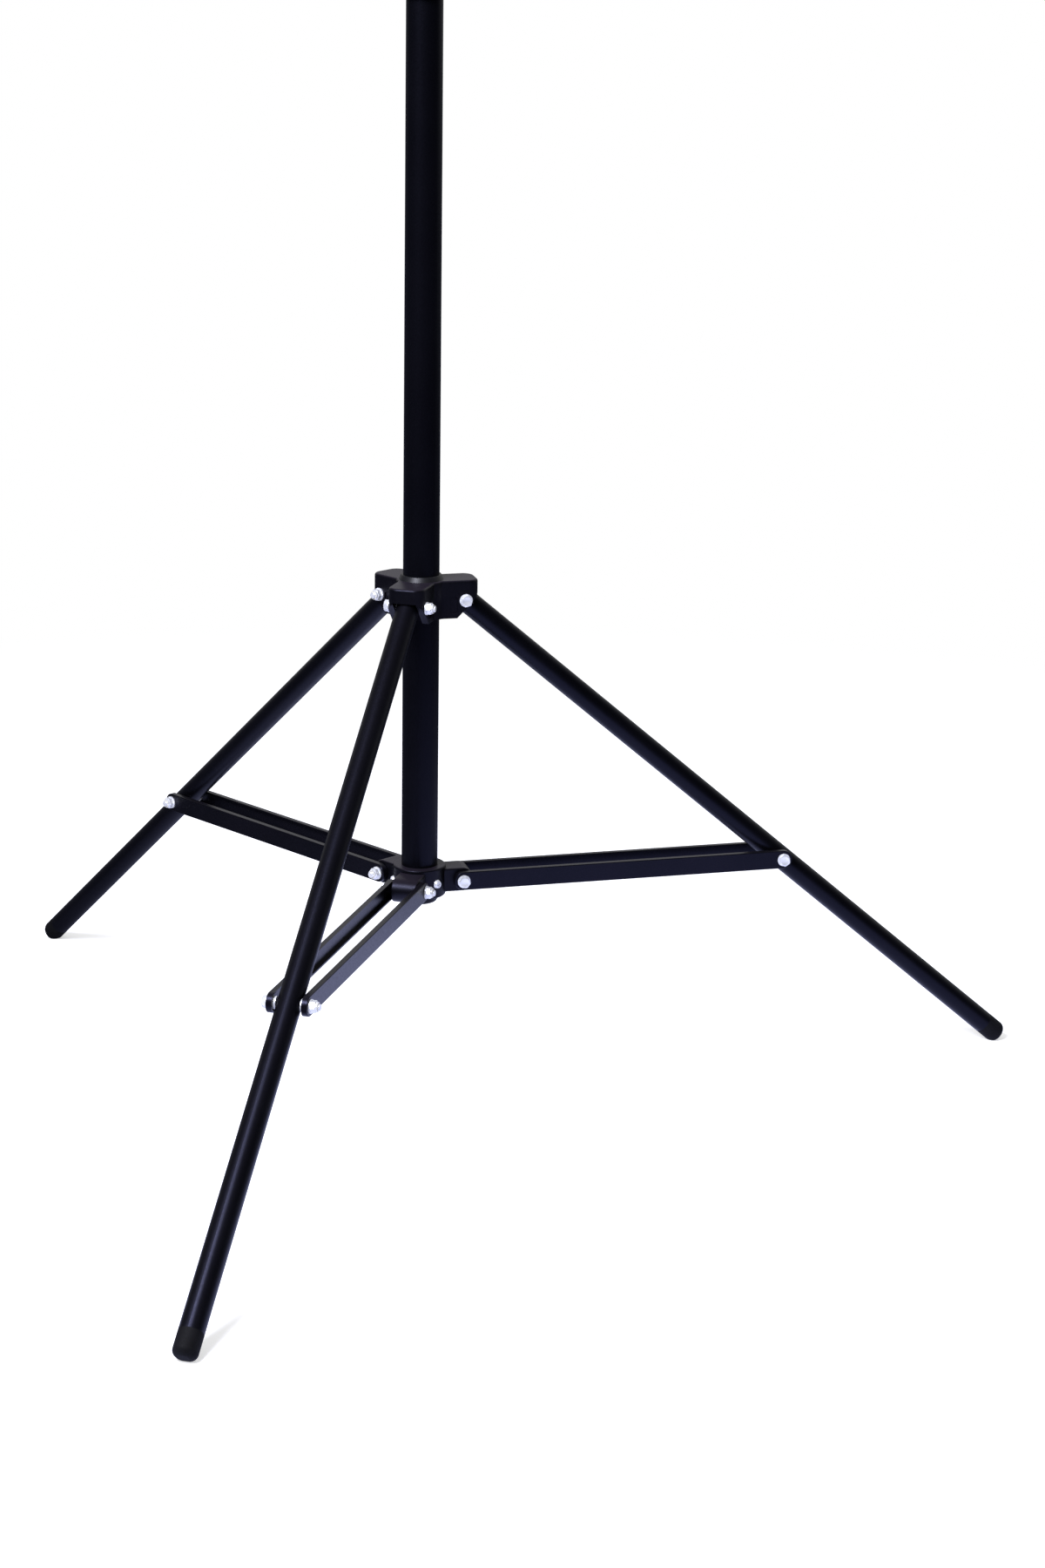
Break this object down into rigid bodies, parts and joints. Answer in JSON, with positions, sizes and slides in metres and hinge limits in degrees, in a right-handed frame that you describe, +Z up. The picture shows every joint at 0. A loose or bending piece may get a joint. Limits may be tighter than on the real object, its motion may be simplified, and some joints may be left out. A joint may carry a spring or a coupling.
{
  "type": "speaker tripod stand",
  "caption": "Free-standing folding tripod with a sliding leg yoke, level brace bars, a clamped telescopic mast and a spigot for a loudspeaker.",
  "frame": {"origin": "on the floor, under the pole's axis, with the legs open", "axes": "+Z up along the pole; the front leg points along -Y; +X to the right"},
  "size_m": [1.0702, 0.9297, 1.2499],
  "materials": {
    "pole_steel": "satin black powder coat on drawn steel tube",
    "leg_steel": "satin black powder coat on drawn steel tube",
    "bar_steel": "satin black powder coat on pressed steel",
    "mast_steel": "satin black powder coat on drawn steel tube",
    "casting_black": "glass-filled nylon, moulded black",
    "plug_black": "polypropylene, moulded black",
    "nylon_black": "nylon bush, black",
    "nylon_grey": "nylon glide, natural grey",
    "zinc": "bright zinc plated steel fasteners",
    "brass": "turned brass insert",
    "rubber_black": "moulded black rubber foot",
    "knob_black": "moulded black knob"
  },
  "bodies": {
    "pole": {"pole_tube": "pole_steel", "pole_end_plug": "plug_black", "brace_hub": "casting_black", "hub_screws": "zinc", "hub_bolts": "zinc", "hub_nuts": "zinc", "hub_washers": "zinc", "lock_collar": "casting_black", "collar_screws": "zinc", "guide_bush": "nylon_black", "collar_insert": "brass"},
    "yoke": {"leg_yoke": "casting_black", "yoke_liner": "nylon_black", "leg_bolts": "zinc", "leg_nuts": "zinc", "leg_washers": "zinc", "yoke_insert": "brass"},
    "yoke_shoe": {"yoke_shoe": "nylon_black"},
    "yoke_knob": {"yoke_knob": "knob_black", "yoke_stud": "zinc"},
    "mast_glide": {"mast_glide": "nylon_grey"},
    "mast": {"mast_tube": "mast_steel", "spigot_sleeve": "mast_steel", "spigot_cap": "plug_black"},
    "safety_pin": {"safety_pin": "zinc", "pin_ring": "zinc"},
    "collar_shoe": {"collar_shoe": "nylon_black"},
    "collar_knob": {"collar_knob": "knob_black", "collar_stud": "zinc"},
    "leg_front": {"leg_tube_front": "leg_steel", "leg_plug_front": "plug_black", "leg_foot_front": "rubber_black"},
    "brace_front": {"brace_bar_front_a": "bar_steel", "brace_bar_front_b": "bar_steel", "brace_bolt_front": "zinc", "brace_nut_front": "zinc", "brace_washers_front": "zinc", "brace_spacers_front": "zinc"},
    "leg_right": {"leg_tube_right": "leg_steel", "leg_plug_right": "plug_black", "leg_foot_right": "rubber_black"},
    "brace_right": {"brace_bar_right_a": "bar_steel", "brace_bar_right_b": "bar_steel", "brace_bolt_right": "zinc", "brace_nut_right": "zinc", "brace_washers_right": "zinc", "brace_spacers_right": "zinc"},
    "leg_left": {"leg_tube_left": "leg_steel", "leg_plug_left": "plug_black", "leg_foot_left": "rubber_black"},
    "brace_left": {"brace_bar_left_a": "bar_steel", "brace_bar_left_b": "bar_steel", "brace_bolt_left": "zinc", "brace_nut_left": "zinc", "brace_washers_left": "zinc", "brace_spacers_left": "zinc"}
  },
  "joints": [
    {"name": "yoke_slide", "type": "slide", "parent": "pole", "child": "yoke", "axis": [0, 0, 1], "range_m": [0, 0.47686]},
    {"name": "leg_front_hinge", "type": "hinge", "parent": "yoke", "child": "leg_front", "pos_m": [0, -0.04, 0.49001], "axis": [1, 0, 0], "range_deg": [0, 47.31]},
    {"name": "brace_front_hinge", "type": "hinge", "parent": "pole", "child": "brace_front", "pos_m": [0, -0.04, 0.21196], "axis": [-1, 0, 0], "range_deg": [0, 86.99]},
    {"name": "leg_right_hinge", "type": "hinge", "parent": "yoke", "child": "leg_right", "pos_m": [0.03464, 0.02, 0.49001], "axis": [-0.5, 0.866, 0], "range_deg": [0, 47.31]},
    {"name": "brace_right_hinge", "type": "hinge", "parent": "pole", "child": "brace_right", "pos_m": [0.03464, 0.02, 0.21196], "axis": [0.5, -0.866, 0], "range_deg": [0, 86.99]},
    {"name": "leg_left_hinge", "type": "hinge", "parent": "yoke", "child": "leg_left", "pos_m": [-0.03464, 0.02, 0.49001], "axis": [-0.5, -0.866, 0], "range_deg": [0, 47.31]},
    {"name": "brace_left_hinge", "type": "hinge", "parent": "pole", "child": "brace_left", "pos_m": [-0.03464, 0.02, 0.21196], "axis": [0.5, 0.866, 0], "range_deg": [0, 86.99]},
    {"name": "mast_slide", "type": "slide", "parent": "pole", "child": "mast_glide", "axis": [0, 0, 1], "range_m": [0, 0.69191]},
    {"name": "mast_turn", "type": "hinge", "parent": "mast_glide", "child": "mast", "pos_m": [0, 0, 0.24996], "axis": [0, 0, 1], "continuous": true},
    {"name": "safety_pin_pull", "type": "slide", "parent": "mast", "child": "safety_pin", "axis": [1, 0, 0], "range_m": [0, 0.045]},
    {"name": "yoke_shoe_slide", "type": "slide", "parent": "yoke", "child": "yoke_shoe", "axis": [0, 1, 0], "range_m": [0, 0.00187]},
    {"name": "yoke_knob_turn", "type": "hinge", "parent": "yoke_shoe", "child": "yoke_knob", "pos_m": [0, 0.035, 0.48501], "axis": [0, 1, 0], "range_deg": [0, 540.01]},
    {"name": "collar_shoe_slide", "type": "slide", "parent": "pole", "child": "collar_shoe", "axis": [0, 1, 0], "range_m": [0, 0.00187]},
    {"name": "collar_knob_turn", "type": "hinge", "parent": "collar_shoe", "child": "collar_knob", "pos_m": [0, 0.035, 1.09828], "axis": [0, 1, 0], "range_deg": [0, 540.01]}
  ],
  "couplings": [
    {"joint": "leg_front_hinge", "follows": "yoke_slide", "rad_per_m": 1.7312},
    {"joint": "brace_front_hinge", "follows": "yoke_slide", "rad_per_m": 3.1835},
    {"joint": "leg_right_hinge", "follows": "yoke_slide", "rad_per_m": 1.7312},
    {"joint": "brace_right_hinge", "follows": "yoke_slide", "rad_per_m": 3.1835},
    {"joint": "leg_left_hinge", "follows": "yoke_slide", "rad_per_m": 1.7312},
    {"joint": "brace_left_hinge", "follows": "yoke_slide", "rad_per_m": 3.1835},
    {"joint": "yoke_knob_turn", "follows": "yoke_shoe_slide", "rad_per_m": 5026.5},
    {"joint": "collar_knob_turn", "follows": "collar_shoe_slide", "rad_per_m": 5026.5}
  ]
}
